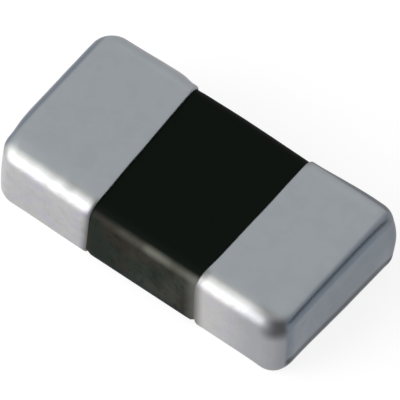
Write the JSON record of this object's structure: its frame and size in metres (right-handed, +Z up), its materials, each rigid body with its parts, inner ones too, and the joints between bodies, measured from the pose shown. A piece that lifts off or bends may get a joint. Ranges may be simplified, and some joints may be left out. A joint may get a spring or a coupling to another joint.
{
  "type": "chip varistor",
  "caption": "Surface-mount varistor chip: a dark fired zinc-oxide block with rounded edges and tinned metal terminations wrapped over both ends, to be soldered flat on a board.",
  "frame": {"origin": "under the middle of the chip, on the plane that its terminations rest on", "axes": "+X along the chip, from the left termination to the right one, +Y across it to the picture's far side, +Z up"},
  "size_m": [0.0032, 0.0018, 0.0008],
  "materials": {
    "zinc_oxide": "fired and tumbled, near-black with a green cast, satin",
    "electrode_metal": "fired silver-palladium film",
    "silver_base": "fired silver, matte",
    "nickel_barrier": "plated nickel, satin",
    "tin_plating": "plated matte tin, satin with a fine grain"
  },
  "bodies": {
    "root": {"ceramic_body": "zinc_oxide", "left_electrode_1": "electrode_metal", "left_electrode_2": "electrode_metal", "left_electrode_3": "electrode_metal", "left_electrode_4": "electrode_metal", "right_electrode_1": "electrode_metal", "right_electrode_2": "electrode_metal", "right_electrode_3": "electrode_metal", "left_silver_base": "silver_base", "right_silver_base": "silver_base", "left_nickel_barrier": "nickel_barrier", "right_nickel_barrier": "nickel_barrier", "left_tin_plating": "tin_plating", "right_tin_plating": "tin_plating"}
  },
  "joints": []
}
